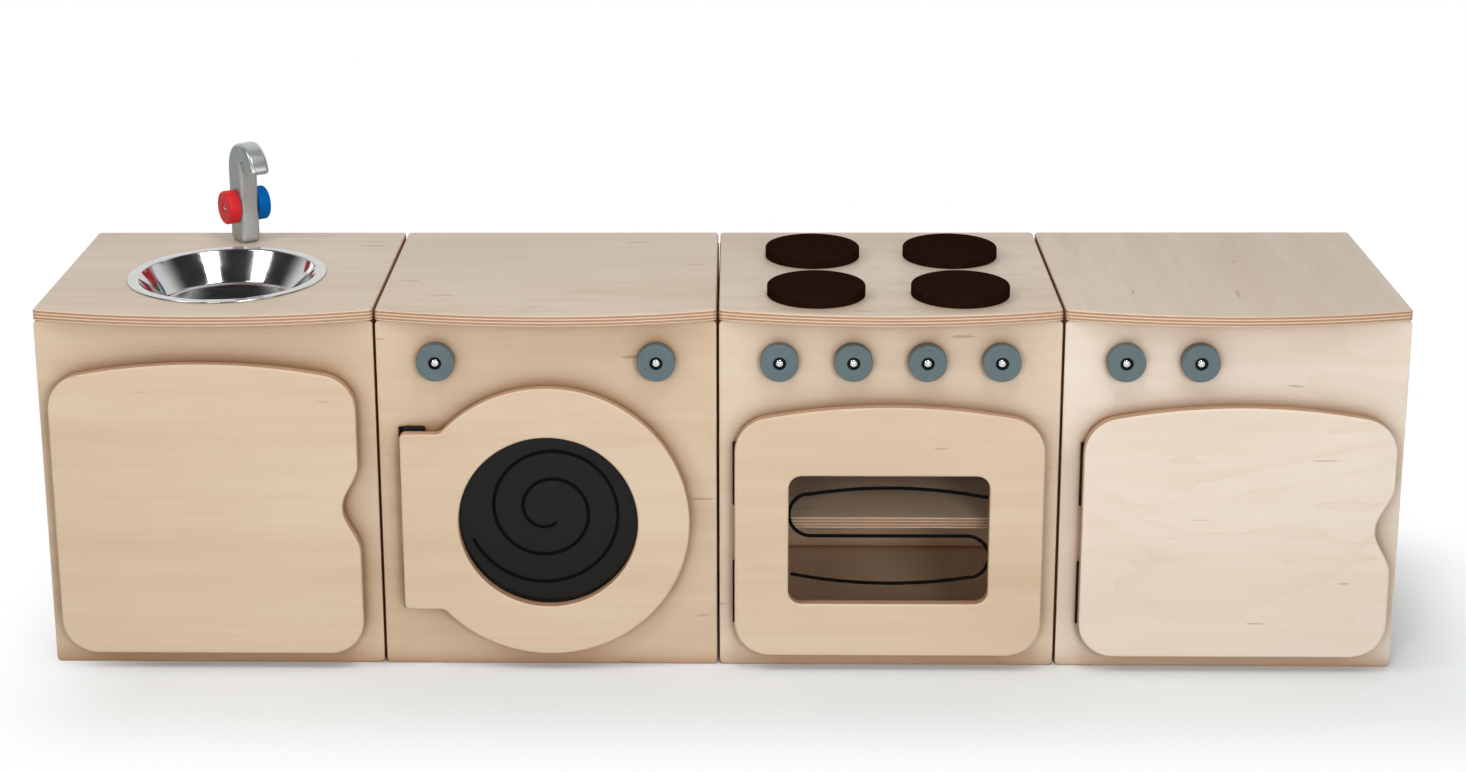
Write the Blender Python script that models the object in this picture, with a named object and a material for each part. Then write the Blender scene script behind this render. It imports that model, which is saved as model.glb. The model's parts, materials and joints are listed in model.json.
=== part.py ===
"""Toy kitchen in birch plywood: sink, washing machine, cooker and fridge units standing side by side.

Run it with: blender --background --python part.py
Metres, +Z up, +X to the right of someone who stands in front, fronts facing -Y.
The origin is the centre of the bounding box's base.
"""

from math import atan2, cos, degrees, pi, radians, sin, sqrt

import bmesh
import bpy
from mathutils import Vector
from mathutils.geometry import delaunay_2d_cdt

# ---- driving dimensions -------------------------------------------------------------------

UNITS = ("sink", "washer", "cooker", "fridge")
PITCH = 0.3596  # from one unit's centre line to the next
UNIT_WIDTH = 0.3586
DEPTH = 0.300  # front panel's face to the back
HEIGHT = 0.400
PLY = 0.012  # every board is cut from one plywood
GAP = 0.0003  # left between pieces that touch

BOW = 0.024  # how far the worktop's middle stands in front of the front panel
BOW_RISE = 0.023  # of that, the part that is curve
BOW_CORNER = 0.006
WORKTOP_ROUND = 0.003
WORKTOP_BACK_CORNER = 0.004

BACK_Y = (DEPTH + BOW) / 2
FACE_Y = BACK_Y - DEPTH

DOOR_WIDTH = 0.325
DOOR_BOTTOM = 0.018
DOOR_RISE = 0.019  # height of the door's arched top
DOOR_CORNER = 0.040
DOOR_FOOT = 0.038
DOOR_STANDOFF = 0.007  # the hinge's thickness, between the door and the front panel
DOOR_ROUND = 0.0025
NOTCH_HALF = 0.050  # finger notch: half its height
NOTCH_DEPTH = 0.018

WASHER_RADIUS = 0.150
WASHER_CENTRE_Z = 0.169
WASHER_HOLE = 0.095
TAB_LEFT = -0.155
TAB_HALF = 0.099
TAB_CORNER = 0.006
TAB_FILLET = 0.010

OVEN_WINDOW = (-0.1055, 0.078, 0.1055, 0.222)  # left, bottom, right, top
OVEN_WINDOW_CORNER = 0.014
PANE = 0.003
PANE_LAP = 0.013  # the pane is this much larger than its hole, all round

DOORWAY_HALF = 0.125
DOORWAY_BOTTOM = 0.040
DOORWAY_RADIUS = 0.118  # the washing machine's round doorway

HINGE_LENGTH = 0.071
HINGE_LEAF = 0.027
LEAF_THICK = 0.002
AXIS_OFF = DOOR_STANDOFF / 2 - GAP  # from the hinge's axis to the boards its leaves lie on
BARREL = 0.0018
PIN = 0.0007
BORE = 0.0010
SINK = 0.0001  # keeps the faces of joined pieces from lying in one plane
EDGE_TO_AXIS = 0.0006  # from a door's left edge to its hinge axis

KNOB_RADIUS = 0.020
KNOB_THICK = 0.0124
KNOB_Z = 0.3445
KNOB_PITCH = 0.077
KNOB_CHAMFER = 0.0015

RING_RADIUS = 0.052
RING_THICK = 0.012
RING_X = 0.076
RING_FROM_FACE = (0.0525, 0.1995)

BOWL_X = 0.0034  # from the sink unit's centre line
BOWL_FROM_FACE = 0.126
BOWL_RIM = 0.1075
BOWL_MOUTH = 0.0975
BOWL_FLOOR_RADIUS = 0.072
BOWL_DEPTH = 0.030
BOWL_WALL = 0.0012
BOWL_HOLE = 0.1005

TAP_X = -0.0016
TAP_FROM_FACE = 0.268
TAP_TURN = 34  # degrees that the spout points to the right of straight ahead
STEM = 0.033
TAP_THICK = 0.022
HOOK_RADIUS = 0.034
HOOK_INNER = 0.0055
HOOK_CENTRE = 0.083  # above the worktop
TIP_HEIGHT = 0.086
TIP_CORNER = 0.0042
TAP_ROUND = 0.0035
TAP_FOOT = 0.005
HANDLE_RADIUS = 0.0192
HANDLE_THICK = 0.014
HANDLE_HEIGHT = 0.041

SHELF_Z = 0.149
SHELF_FROM_FACE = 0.020
BOTTOM_Z = 0.006

# One door each: shift from the unit's centre line, top, notch height or None, hinge centres.
DOORS = {
    "sink": (-0.0025, 0.345, 0.184, (0.086, 0.266)),
    "washer": (0.0, None, None, (0.102, 0.236)),
    "cooker": (0.0, 0.2985, None, (0.086, 0.220)),
    "fridge": (0.0055, 0.2985, 0.163, (0.086, 0.220)),
}
KNOBS = {
    "washer": (-1.5, 1.5),
    "cooker": (-1.5, -0.5, 0.5, 1.5),
    "fridge": (-1.5, -0.5),
}

# Each colour with its roughness and metallic value.
FINISHES = {
    "birch": ((0.70, 0.53, 0.36), 0.55, 0.0),
    "grey_paint": ((0.19, 0.24, 0.26), 0.45, 0.0),
    "dark_paint": ((0.016, 0.006, 0.003), 0.5, 0.0),
    "silver_paint": ((0.50, 0.52, 0.54), 0.35, 0.6),
    "red_paint": ((0.68, 0.015, 0.03), 0.4, 0.0),
    "blue_paint": ((0.005, 0.08, 0.40), 0.4, 0.0),
    "steel": ((0.75, 0.75, 0.74), 0.12, 1.0),
    "black_steel": ((0.012, 0.012, 0.013), 0.4, 0.8),
    "black_acrylic": ((0.006, 0.006, 0.006), 0.05, 0.0),
    "smoked_acrylic": ((0.05, 0.035, 0.028), 0.05, 0.0),
}

STEPS = 6  # straight steps in a quarter turn of an outline
FACING = (pi / 2, 0, 0)  # turns a plate's or a turned piece's local +Z to face -Y


def unit_x(unit):
    return (UNITS.index(unit) - (len(UNITS) - 1) / 2) * PITCH


# ---- outlines, as lists of 2-D points running anticlockwise ---------------------------------


def arc(cx, cy, radius, start, end, steps):
    """Points on a circle from start to end degrees, both included."""
    turns = [radians(start + (end - start) * i / steps) for i in range(steps + 1)]
    return [(cx + radius * cos(a), cy + radius * sin(a)) for a in turns]


def circle(cx, cy, radius, steps):
    return arc(cx, cy, radius, 0, 360, steps)[:-1]


def rounded_box(left, low, right, high, radius, steps=3):
    corners = ((right - radius, high - radius, 0), (left + radius, high - radius, 90),
               (left + radius, low + radius, 180), (right - radius, low + radius, 270))
    return [p for cx, cy, start in corners for p in arc(cx, cy, radius, start, start + 90, steps)]


def notch(edge, middle):
    """The finger notch in a right edge, from its lower end up: one wave of a cosine."""
    points = []
    for i in range(1, 2 * STEPS):
        along = -1 + i / STEPS
        depth = NOTCH_DEPTH * (1 + cos(pi * along)) / 2
        points.append((edge - depth, middle + along * NOTCH_HALF))
    return points


def arched(left, right, low, peak, rise, shoulder, foot, notch_at=None, steps=STEPS):
    """A panel with rounded feet and a shallow arch on top that runs smoothly into its shoulders."""
    middle = (left + right) / 2
    half = (right - left) / 2
    arch = (half**2 + rise**2) / (2 * rise)
    arch_y = peak - arch
    reach = half - shoulder
    shoulder_y = arch_y + sqrt((arch - shoulder) ** 2 - reach**2)
    meet = degrees(atan2(shoulder_y - arch_y, reach))
    points = arc(left + foot, low + foot, foot, 180, 270, steps)
    points += arc(right - foot, low + foot, foot, 270, 360, steps)
    if notch_at is not None:
        points += notch(right, notch_at)
    points += arc(right - shoulder, shoulder_y, shoulder, 0, meet, steps)
    points += arc(middle, arch_y, arch, meet, 180 - meet, 2 * steps)[1:-1]
    points += arc(left + shoulder, shoulder_y, shoulder, 180 - meet, 180, steps)
    return points


def porthole():
    """The washing machine's door: a disc with a straight hinge tab on its left."""
    low, high = WASHER_CENTRE_Z - TAB_HALF, WASHER_CENTRE_Z + TAB_HALF
    rise = TAB_HALF + TAB_FILLET
    across = -sqrt((WASHER_RADIUS + TAB_FILLET) ** 2 - rise**2)
    meet = degrees(atan2(rise, across))
    corner = TAB_LEFT + TAB_CORNER
    points = arc(0, WASHER_CENTRE_Z, WASHER_RADIUS, -meet, meet, 7 * STEPS)
    points += arc(across, high + TAB_FILLET, TAB_FILLET, meet - 180, -90, 3)
    points += arc(corner, high - TAB_CORNER, TAB_CORNER, 90, 180, 3)
    points += arc(corner, low + TAB_CORNER, TAB_CORNER, 180, 270, 3)
    points += arc(across, low - TAB_FILLET, TAB_FILLET, 90, 180 - meet, 3)
    return points


def hook():
    """The spout's side view: a stem from the worktop up, bent over forwards into a blunt tip."""
    stem_back = -STEM / 2
    centre = stem_back + HOOK_RADIUS
    tip_z = TIP_HEIGHT + TIP_CORNER
    reach = sqrt((HOOK_RADIUS - TIP_CORNER) ** 2 - (tip_z - HOOK_CENTRE) ** 2)
    tip = degrees(atan2(tip_z - HOOK_CENTRE, reach))
    inner = STEM / 2 + 2 * HOOK_INNER + TIP_CORNER
    points = arc(STEM / 2 - TAP_FOOT, TAP_FOOT, TAP_FOOT, 270, 360, 2)
    points += arc(STEM / 2 + HOOK_INNER, tip_z, HOOK_INNER, 180, 0, 6)
    points += arc(inner, tip_z, TIP_CORNER, 180, 270, 3)[1:]
    points += arc(centre + reach, tip_z, TIP_CORNER, 270, 360 + tip, 3)
    points += arc(centre, HOOK_CENTRE, HOOK_RADIUS, tip, 180, 14)[1:]
    points += arc(stem_back + TAP_FOOT, TAP_FOOT, TAP_FOOT, 180, 270, 2)
    return points


def turned_over(points):
    """The outline with its second coordinate reversed, still anticlockwise."""
    return [(x, -y) for x, y in reversed(points)]


# ---- solids -----------------------------------------------------------------------------------


def material(name):
    if name in bpy.data.materials:
        return bpy.data.materials[name]
    colour, roughness, metallic = FINISHES[name]
    made = bpy.data.materials.new(name)
    made.use_nodes = True
    shader = made.node_tree.nodes["Principled BSDF"]
    shader.inputs["Base Color"].default_value = (*colour, 1)
    shader.inputs["Roughness"].default_value = roughness
    shader.inputs["Metallic"].default_value = metallic
    return made


def add(name, mesh, finish, place, rotation=(0, 0, 0), parent=None):
    """Stands a mesh in the scene. place is in the parent's own frame where there is one."""
    made = bpy.data.objects.new(name, mesh)
    made.data.materials.append(material(finish))
    made.location = place
    made.rotation_euler = rotation
    made.parent = parent
    bpy.context.collection.objects.link(made)
    return made


def inset(points, distance):
    """Each corner moved to the left of the way the outline runs, which is into the material."""
    moved = []
    for i, here in enumerate(points):
        before = Vector(here) - Vector(points[i - 1])
        after = Vector(points[(i + 1) % len(points)]) - Vector(here)
        first = Vector((-before.y, before.x)).normalized()
        second = Vector((-after.y, after.x)).normalized()
        moved.append(Vector(here) + (first + second) * distance / (1 + first.dot(second)))
    return moved


def edge_profile(thick, round_top, round_bottom, steps):
    """(inset, height) pairs down a plate's edge, from its top face to its bottom face."""
    pairs = []
    for size, sign, face in ((round_top, 1, thick), (round_bottom, -1, 0)):
        if size:
            turns = [pi / 2 * i / steps for i in range(steps + 1)]
            bend = [(size * (1 - cos(a)), face - sign * size * (1 - sin(a))) for a in turns]
            pairs += bend[::-1] if sign > 0 else bend
        else:
            pairs.append((0, face))
    return pairs


def cap(shape, loops):
    """Fills the flat face between an outline and its holes, which are all convex."""
    corners = [(vert, number) for number, loop in enumerate(loops) for vert in loop]
    places = [vert.co.xy for vert, _ in corners]
    first, edges = 0, []
    for loop in loops:
        count = len(loop)
        edges += [(first + i, first + (i + 1) % count) for i in range(count)]
        first += count
    _, _, faces, sources, _, _ = delaunay_2d_cdt(places, edges, [], 1, 1e-8)
    for face in faces:
        chosen = [corners[sources[i][0]] for i in face]
        owners = {number for _, number in chosen}
        if owners == {0} or len(owners) > 1:
            shape.faces.new([vert for vert, _ in chosen])


def plate(name, outline, thick, holes=(), round_top=0, round_bottom=0, steps=2):
    """A flat board from z = 0 to thick, its edges and its holes' edges rounded over alike."""
    shape = bmesh.new()
    profile = edge_profile(thick, round_top, round_bottom, steps)
    top_loops, bottom_loops = [], []
    for loop in [outline] + [list(reversed(hole)) for hole in holes]:
        rings = []
        for size, height in profile:
            rings.append([shape.verts.new((p[0], p[1], height)) for p in inset(loop, size)])
        count = len(loop)
        for upper, lower in zip(rings, rings[1:]):
            for i in range(count):
                j = (i + 1) % count
                shape.faces.new((upper[i], lower[i], lower[j], upper[j]))
        top_loops.append(rings[0])
        bottom_loops.append(rings[-1])
    cap(shape, top_loops)
    cap(shape, bottom_loops)
    bmesh.ops.recalc_face_normals(shape, faces=shape.faces)
    return finished(name, shape)


def turned(name, profile, steps):
    """A solid turned about local Z from (radius, height) pairs that start and end on the axis."""
    shape = bmesh.new()
    rings = []
    for radius, height in profile:
        if radius:
            turns = [2 * pi * i / steps for i in range(steps)]
            ring = [shape.verts.new((radius * cos(a), radius * sin(a), height)) for a in turns]
        else:
            ring = [shape.verts.new((0, 0, height))] * steps
        rings.append(ring)
    for lower, upper in zip(rings, rings[1:]):
        for i in range(steps):
            j = (i + 1) % steps
            corners = dict.fromkeys((lower[i], lower[j], upper[j], upper[i]))
            shape.faces.new(corners)
    bmesh.ops.recalc_face_normals(shape, faces=shape.faces)
    return finished(name, shape)


def finished(name, shape):
    mesh = bpy.data.meshes.new(name)
    shape.to_mesh(mesh)
    shape.free()
    mesh.shade_smooth()
    mesh.set_sharp_from_angle(angle=radians(35))
    return mesh


def combine(first, others, operation):
    """The first object's mesh joined with, or cut by, the other objects, which are then removed."""
    for other in others:
        cut = first.modifiers.new(other.name, "BOOLEAN")
        cut.operation = operation
        cut.object = other
    bpy.context.view_layer.update()
    seen = first.evaluated_get(bpy.context.evaluated_depsgraph_get())
    mesh = bpy.data.meshes.new_from_object(seen)
    first.modifiers.clear()
    first.data = mesh
    for other in others:
        bpy.data.objects.remove(other)


def box_board(name, low, high, finish="birch"):
    """A plain board between two corners of the whole kitchen's frame."""
    outline = [(low[0], low[1]), (high[0], low[1]), (high[0], high[1]), (low[0], high[1])]
    return add(name, plate(name, outline, high[2] - low[2]), finish, (0, 0, low[2]))


# ---- carcasses --------------------------------------------------------------------------------


def doorway(unit):
    """The opening in a unit's front panel, in the unit's own x and z."""
    if unit == "washer":
        return circle(0, WASHER_CENTRE_Z, DOORWAY_RADIUS, 40)
    top = DOORS[unit][1] - DOOR_RISE - DOOR_WIDTH / 2 + DOORWAY_HALF + 0.02
    return rounded_box(-DOORWAY_HALF, DOORWAY_BOTTOM, DOORWAY_HALF, top, 0.006)


def carcass(unit):
    x = unit_x(unit)
    half = UNIT_WIDTH / 2
    inner = half - PLY - GAP
    top = HEIGHT - PLY - GAP
    behind = FACE_Y + PLY + GAP

    front = rounded_box(-half, 0, half, top, 0.005, 2)
    mesh = plate(f"{unit}_front_panel", front, PLY, [doorway(unit)], 0.0008, 0, 1)
    add(f"{unit}_front_panel", mesh, "birch", (x, FACE_Y + PLY, 0), FACING)

    box_board(f"{unit}_side_left", (x - half, behind, 0), (x - half + PLY, BACK_Y, top))
    box_board(f"{unit}_side_right", (x + half - PLY, behind, 0), (x + half, BACK_Y, top))
    box_board(f"{unit}_bottom", (x - inner, behind, BOTTOM_Z), (x + inner, BACK_Y, BOTTOM_Z + PLY))
    floor = BOTTOM_Z + PLY + GAP
    box_board(f"{unit}_back", (x - inner, BACK_Y - PLY, floor), (x + inner, BACK_Y, top))

    outline = turned_over(arched(-half, half, -BACK_Y, BACK_Y, BOW_RISE, BOW_CORNER,
                                 WORKTOP_BACK_CORNER, steps=4))
    holes = []
    if unit == "sink":
        holes.append(circle(BOWL_X, FACE_Y + BOWL_FROM_FACE, BOWL_HOLE, 40))
    mesh = plate(f"{unit}_worktop", outline, PLY, holes, WORKTOP_ROUND, 0, 1)
    add(f"{unit}_worktop", mesh, "birch", (x, 0, HEIGHT - PLY))


def oven_shelf():
    x = unit_x("cooker")
    inner = UNIT_WIDTH / 2 - PLY - GAP
    low = (x - inner, FACE_Y + SHELF_FROM_FACE, SHELF_Z)
    box_board("oven_shelf", low, (x + inner, BACK_Y - PLY - GAP, SHELF_Z + PLY))


# ---- doors and hinges ---------------------------------------------------------------------------


def door_left(unit):
    """A door's left edge, from its unit's centre line."""
    return TAB_LEFT if unit == "washer" else DOORS[unit][0] - DOOR_WIDTH / 2


def shifted(points, dx, dz):
    return [(x + dx, z + dz) for x, z in points]


def door(unit):
    """A door with its window, both hung from an empty on the hinge axis."""
    shift, top, notch_z, _ = DOORS[unit]
    axis_x = door_left(unit) - EDGE_TO_AXIS
    axis_y = FACE_Y - DOOR_STANDOFF / 2
    pivot = bpy.data.objects.new(f"{unit}_door_pivot", None)
    pivot.location = (unit_x(unit) + axis_x, axis_y, 0)
    bpy.context.collection.objects.link(pivot)

    holes = []
    if unit == "washer":
        outline = porthole()
        holes.append(circle(0, WASHER_CENTRE_Z, WASHER_HOLE, 40))
    else:
        half = DOOR_WIDTH / 2
        outline = arched(shift - half, shift + half, DOOR_BOTTOM, top, DOOR_RISE,
                         DOOR_CORNER, DOOR_FOOT, notch_z)
    if unit == "cooker":
        holes.append(rounded_box(*OVEN_WINDOW, OVEN_WINDOW_CORNER, 4))
    holes = [shifted(hole, -axis_x, 0) for hole in holes]
    mesh = plate(f"{unit}_door", shifted(outline, -axis_x, 0), PLY, holes, DOOR_ROUND, 0, 1)
    back = -DOOR_STANDOFF / 2
    add(f"{unit}_door", mesh, "birch", (0, back, 0), FACING, pivot)

    if holes:
        finish = "black_acrylic" if unit == "washer" else "smoked_acrylic"
        pane = [tuple(p) for p in inset(holes[0], -PANE_LAP)]
        mesh = plate(f"{unit}_window", pane, PANE)
        add(f"{unit}_window", mesh, finish, (0, back + GAP + PANE, 0), FACING, pivot)
    return pivot


def upright(name, radius, low, high):
    """A round bar along the hinge axis, as a helper for the leaves."""
    mesh = turned(name, [(0, low), (radius, low), (radius, high), (0, high)], 12)
    return add(name, mesh, "black_steel", (0, 0, 0))


def leaf(name, centre_z, place, knuckles, side, parent=None):
    """A hinge leaf: a plate beside the barrel, on the side +1 (frame) or -1 (door)."""
    low = centre_z - HINGE_LENGTH / 2
    third = HINGE_LENGTH / 3
    clear = BARREL + 2 * GAP
    outline = [(clear, 0), (HINGE_LEAF, 0), (HINGE_LEAF, HINGE_LENGTH), (clear, HINGE_LENGTH)]
    near = AXIS_OFF if side > 0 else -AXIS_OFF + LEAF_THICK
    made = add(name, plate(name, shifted(outline, 0, low), LEAF_THICK), "black_steel",
               (0, near, 0), FACING)
    bpy.context.view_layer.update()
    parts = []
    for number in knuckles:
        start, end = low + number * third + GAP / 2, low + (number + 1) * third - GAP / 2
        root = [(GAP, start + GAP), (clear + GAP, start + GAP), (clear + GAP, end - GAP),
                (GAP, end - GAP)]
        parts.append(upright(f"{name}_knuckle_{number}", BARREL, start, end))
        mesh = plate(name, root, LEAF_THICK - 2 * SINK)
        parts.append(add(f"{name}_root_{number}", mesh, "black_steel", (0, near - SINK, 0), FACING))
    if side > 0:
        parts.append(upright(f"{name}_pin", PIN, low + third / 2, low + HINGE_LENGTH - third / 2))
    combine(made, parts, "UNION")
    if side < 0:
        combine(made, [upright(f"{name}_bore", BORE, low, low + HINGE_LENGTH)], "DIFFERENCE")
    made.data.transform(made.matrix_basis)
    made.rotation_euler = (0, 0, 0)
    made.location = place
    made.parent = parent


def hinges(unit, pivot):
    """Two hinges a door. The lower one's door leaf is left out, to keep to sixty pieces."""
    lower, upper = DOORS[unit][3]
    place = pivot.location
    leaf(f"{unit}_hinge_lower_frame_leaf", lower, place, (0, 2), 1)
    leaf(f"{unit}_hinge_upper_frame_leaf", upper, place, (0, 2), 1)
    leaf(f"{unit}_hinge_upper_door_leaf", upper, (0, 0, 0), (1,), -1, pivot)


# ---- small round pieces ----------------------------------------------------------------------------


def knob_profile(radius, thick, chamfer):
    """A disc whose face has a counterbore for its screw."""
    bore, deep = 0.0065, 0.003
    return [(0, 0), (radius, 0), (radius, thick - chamfer), (radius - chamfer, thick),
            (bore, thick), (bore, thick - deep), (0, thick - deep)]


def knobs(unit):
    for number, place in enumerate(KNOBS[unit], 1):
        name = f"{unit}_knob_{number}"
        mesh = turned(name, knob_profile(KNOB_RADIUS, KNOB_THICK, KNOB_CHAMFER), 24)
        at = (unit_x(unit) + place * KNOB_PITCH, FACE_Y - 2 * GAP, KNOB_Z)
        add(name, mesh, "grey_paint", at, FACING)


def hob_rings():
    places = [(side * RING_X, y) for y in RING_FROM_FACE for side in (-1, 1)]
    profile = [(0, 0), (RING_RADIUS, 0), (RING_RADIUS, RING_THICK - 0.002),
               (RING_RADIUS - 0.002, RING_THICK), (0, RING_THICK)]
    for number, (x, y) in enumerate(places, 1):
        name = f"hob_ring_{number}"
        at = (unit_x("cooker") + x, FACE_Y + y, HEIGHT + GAP)
        add(name, turned(name, profile, 32), "dark_paint", at)


def bowl():
    """A shallow steel bowl with a flat lip that lies on the worktop."""
    lip = 0.0014
    wall = BOWL_WALL
    bend = 0.010
    floor = -BOWL_DEPTH
    low = floor - wall
    profile = [(0, low), (BOWL_FLOOR_RADIUS, low), (BOWL_FLOOR_RADIUS + bend, low + bend / 2),
               (BOWL_MOUTH, 0), (BOWL_RIM, 0), (BOWL_RIM, lip), (BOWL_MOUTH - wall, lip),
               (BOWL_FLOOR_RADIUS + bend - wall, floor + bend / 2),
               (BOWL_FLOOR_RADIUS - wall, floor), (0, floor)]
    at = (unit_x("sink") + BOWL_X, FACE_Y + BOWL_FROM_FACE, HEIGHT + GAP)
    add("sink_bowl", turned("sink_bowl", profile, 40), "steel", at)


def tap():
    """The wooden tap on its swivel, with a hot and a cold handle on its sides."""
    swivel = bpy.data.objects.new("tap_swivel", None)
    swivel.location = (unit_x("sink") + TAP_X, FACE_Y + TAP_FROM_FACE, HEIGHT + GAP)
    swivel.rotation_euler = (0, 0, radians(TAP_TURN - 90))
    bpy.context.collection.objects.link(swivel)

    mesh = plate("tap_spout", hook(), TAP_THICK, (), TAP_ROUND, TAP_ROUND, 2)
    add("tap_spout", mesh, "silver_paint", (0, TAP_THICK / 2, 0), FACING, swivel)
    out = TAP_THICK / 2 + GAP
    profile = knob_profile(HANDLE_RADIUS, HANDLE_THICK, 0.002)
    for name, finish, side in (("hot_handle", "red_paint", 1), ("cold_handle", "blue_paint", -1)):
        place = (0, -side * out, HANDLE_HEIGHT)
        add(name, turned(name, profile, 24), finish, place, (side * pi / 2, 0, 0), swivel)


# ---- the whole kitchen -------------------------------------------------------------------------------

for old in list(bpy.data.objects):
    bpy.data.objects.remove(old)

for unit_name in UNITS:
    carcass(unit_name)
    hinges(unit_name, door(unit_name))
for unit_name in KNOBS:
    knobs(unit_name)
oven_shelf()
hob_rings()
bowl()
tap()
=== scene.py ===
"""Toy kitchen in birch plywood: its looks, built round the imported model. Metres, +Z up."""

import json
from math import asin, atan2, cos, degrees, pi, radians, sin, sqrt

import bmesh
import bpy
from mathutils import Matrix, Vector
from mathutils.geometry import delaunay_2d_cdt


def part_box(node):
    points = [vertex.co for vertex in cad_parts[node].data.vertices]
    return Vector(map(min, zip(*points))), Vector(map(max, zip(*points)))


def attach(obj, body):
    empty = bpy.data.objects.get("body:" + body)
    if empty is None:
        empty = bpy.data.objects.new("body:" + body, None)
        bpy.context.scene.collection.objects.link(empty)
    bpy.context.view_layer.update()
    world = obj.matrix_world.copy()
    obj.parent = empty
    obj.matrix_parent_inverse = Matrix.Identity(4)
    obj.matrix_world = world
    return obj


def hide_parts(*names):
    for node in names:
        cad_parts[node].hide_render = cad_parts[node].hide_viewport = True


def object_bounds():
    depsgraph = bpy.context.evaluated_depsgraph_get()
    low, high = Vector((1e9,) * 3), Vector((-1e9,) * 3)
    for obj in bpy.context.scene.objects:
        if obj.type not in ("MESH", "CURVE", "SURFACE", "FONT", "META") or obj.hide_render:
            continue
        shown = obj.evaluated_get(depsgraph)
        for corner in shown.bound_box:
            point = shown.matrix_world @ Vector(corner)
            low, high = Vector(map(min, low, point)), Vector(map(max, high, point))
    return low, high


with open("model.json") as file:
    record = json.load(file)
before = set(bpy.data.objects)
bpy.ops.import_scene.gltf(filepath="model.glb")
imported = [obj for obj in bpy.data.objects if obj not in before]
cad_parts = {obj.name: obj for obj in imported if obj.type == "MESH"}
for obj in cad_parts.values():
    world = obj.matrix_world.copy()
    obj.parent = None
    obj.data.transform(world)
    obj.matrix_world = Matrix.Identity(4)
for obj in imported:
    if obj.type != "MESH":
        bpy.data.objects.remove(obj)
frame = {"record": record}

CAD_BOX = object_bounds()

# ---- sizes that the frame doesn't hold ----------------------------------------------------------

UNITS = ("sink", "washer", "cooker", "fridge")  # from left to right along X, fronts to -Y
PLY_LAYERS = 7
VENEER = (0.00080, 0.00105)  # depths between which a board's face gives way to its layers
CRISP = 0.0003  # roundover of the edges of panes and hinge leaves
SHARP_ANGLE = radians(38)  # faces that meet at more than this meet in a crisp edge

# Doors: the arch of the top edge, the corners, the finger notch and the round door's hinge tab.
DOOR_RISE = 0.019
DOOR_CORNER = 0.040
DOOR_FOOT = 0.038
DOOR_ROUND = 0.0026
DOOR_BACK_ROUND = 0.0012
NOTCH_HALF = 0.050
NOTCH_DEPTH = 0.018
TAB_HALF = 0.099
TAB_CORNER = 0.006
TAB_FILLET = 0.010

# Windows: a pane's lap behind the edge of its hole, and how far its screws are from its edge.
PANE_LAP = 0.013
OVEN_CORNER = 0.014  # of the hole
ROUND_SCREW_IN = 0.006
OVEN_SCREW_IN = 0.0065

# Boards of the four units.
BOW_RISE = 0.023
BOW_CORNER = 0.006
BACK_CORNER = 0.004
WORKTOP_ROUND = 0.003
WORKTOP_UNDER_ROUND = 0.001
FOOT_CORNER = 0.005
FRONT_ROUND = 0.0013
FRONT_BACK_ROUND = 0.0004
EASED = 0.0009  # roundover of the other boards' edges
SLIT = 0.0008  # each unit's front and top end this far short of its sides
DOORWAY_RADIUS = 0.118
DOORWAY_SPARE = 0.0025  # between a doorway and the free box recorded in it
DOORWAY_CORNER = 0.006

# The bowl. Its profile's heights count from LIP_TOP under the top of its lip.
BOWL_HOLE = 0.1005
FLOOR_RADIUS = 0.0685  # where the floor starts to bend up into the wall
FLOOR_BEND = 0.006
FLOOR_CROWN = 0.0006
CROWN_RADIUS = 0.0441
CROWN_FALL = 0.0001
WALL_SLOPE = 52  # degrees from level
MOUTH_RADIUS = 0.0987  # where the wall has bent over into the lip
MOUTH_BEND = 0.0036
SKIN_DOWN = 0.0009  # from the inner skin to the outer
SKIN_IN = 0.00018
LIP_TOP = 0.0014
LIP_UNDERSIDE_FROM = 0.0995
LIP_GAP = 0.0001  # between the rolled edge and the worktop

# The tap and its two handles.
STEM = 0.033
HOOK_RADIUS = 0.034
HOOK_INNER = 0.0055
HOOK_CENTRE = 0.083
TIP_HEIGHT = 0.086
TIP_CORNER = 0.0042
TAP_FOOT = 0.005
TAP_ROUND = 0.0038
TAP_THICK = 0.022
TAP_TURN = radians(34 - 90)
HANDLE_GAP = 0.0003
HANDLE_THICK = 0.014
HANDLE_EDGE = 0.0028
HANDLE_BORE = 0.0048
HANDLE_BORE_DEEP = 0.003

# Knobs and hob rings. A black steel cup lines each knob's counterbore as painted shade for the dark
# recess, and a domed bolt sits in it.
DISC_CHAMFER = 0.0008  # round the back of every disc
RING_EDGE = 0.0022
KNOB_EDGE = 0.0015
KNOB_BORE = 0.0070
KNOB_BORE_DEEP = 0.0034
SHADE_CUP_GAP = 0.0001
SHADE_CUP_WALL = 0.0004
SHADE_CUP_FLOOR = 0.0003
SHADE_CUP_HIGH = 0.0026
DIMPLE_AT = 0.0138  # from a knob's centre
DIMPLE = (0.0014, 0.0012)  # radius and depth
DRILL_LONG = 0.004

# The line on a window, and the two ways it runs.
LINE_WIDTH = 0.0038
LINE_THICK = 0.0004
LINE_GAP = 0.00005
SPIRAL_LIFT = 0.0105
SPIRAL_PITCH = 0.0313
SPIRAL_START = (0.0165, -65)  # radius and degrees
SPIRAL_TURN = -812
S_SHIFT = 0.001  # right and up from the middle of the pane
S_REACH = 0.1024
S_PEAK = 0.0539
S_ARCH = 0.520
S_BEND = 0.024

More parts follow.
